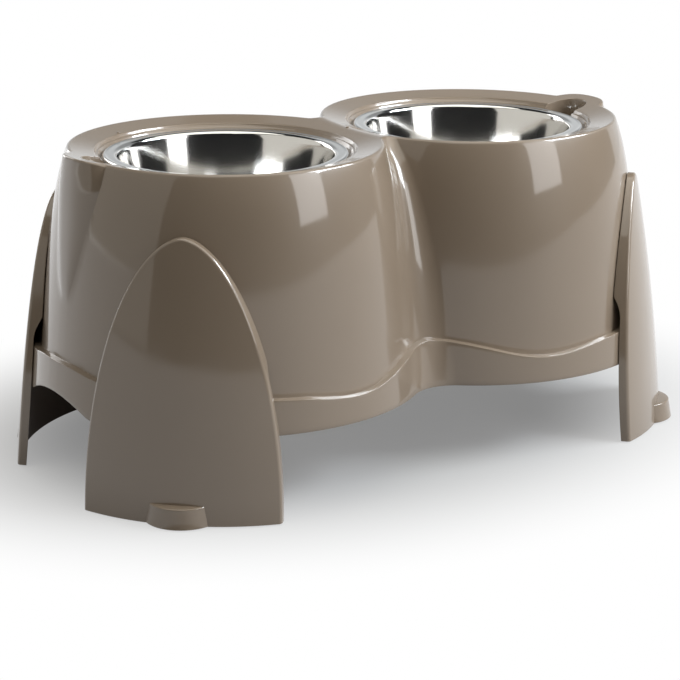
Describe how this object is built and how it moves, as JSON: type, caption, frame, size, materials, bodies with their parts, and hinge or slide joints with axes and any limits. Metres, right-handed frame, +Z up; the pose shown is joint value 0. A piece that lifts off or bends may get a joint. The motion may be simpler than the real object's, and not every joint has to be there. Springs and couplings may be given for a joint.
{
  "type": "raised double pet bowl",
  "caption": "Raised feeder stand with round steel food and water bowls that lift out, hooked-on shield legs, finger pockets in the rims and a wavy skirt",
  "frame": {"origin": "on the floor under the middle of the stand", "axes": "X runs along the stand from the left bowl to the right bowl, Y runs to its back, Z is up"},
  "size_m": [0.583, 0.3422, 0.2696],
  "materials": {
    "body_plastic": "glossy taupe moulding",
    "leg_plastic": "glossy taupe moulding",
    "foot_rubber": "matt dark rubber",
    "bowl_steel": "polished stainless steel"
  },
  "bodies": {
    "stand": {"stand_body": "body_plastic"},
    "leg_front_left": {"leg_front_left": "leg_plastic", "foot_pad_front_left": "foot_rubber"},
    "leg_front_right": {"leg_front_right": "leg_plastic", "foot_pad_front_right": "foot_rubber"},
    "leg_back_left": {"leg_back_left": "leg_plastic", "foot_pad_back_left": "foot_rubber"},
    "leg_back_right": {"leg_back_right": "leg_plastic", "foot_pad_back_right": "foot_rubber"},
    "bowl_left": {"bowl_left": "bowl_steel"},
    "bowl_right": {"bowl_right": "bowl_steel"}
  },
  "joints": [
    {"name": "leg_front_left_release", "type": "slide", "parent": "stand", "child": "leg_front_left", "axis": [-0.1738, -0.1819, -0.9678], "range_m": [0, 0.0186]},
    {"name": "leg_front_right_release", "type": "slide", "parent": "stand", "child": "leg_front_right", "axis": [0.1738, -0.1819, -0.9678], "range_m": [0, 0.0186]},
    {"name": "leg_back_left_release", "type": "slide", "parent": "stand", "child": "leg_back_left", "axis": [-0.1738, 0.1819, -0.9678], "range_m": [0, 0.0186]},
    {"name": "leg_back_right_release", "type": "slide", "parent": "stand", "child": "leg_back_right", "axis": [0.1738, 0.1819, -0.9678], "range_m": [0, 0.0186]},
    {"name": "bowl_left_lift", "type": "slide", "parent": "stand", "child": "bowl_left", "axis": [0, 0, 1], "range_m": [0, 0.1]},
    {"name": "bowl_right_lift", "type": "slide", "parent": "stand", "child": "bowl_right", "axis": [0, 0, 1], "range_m": [0, 0.1]}
  ]
}
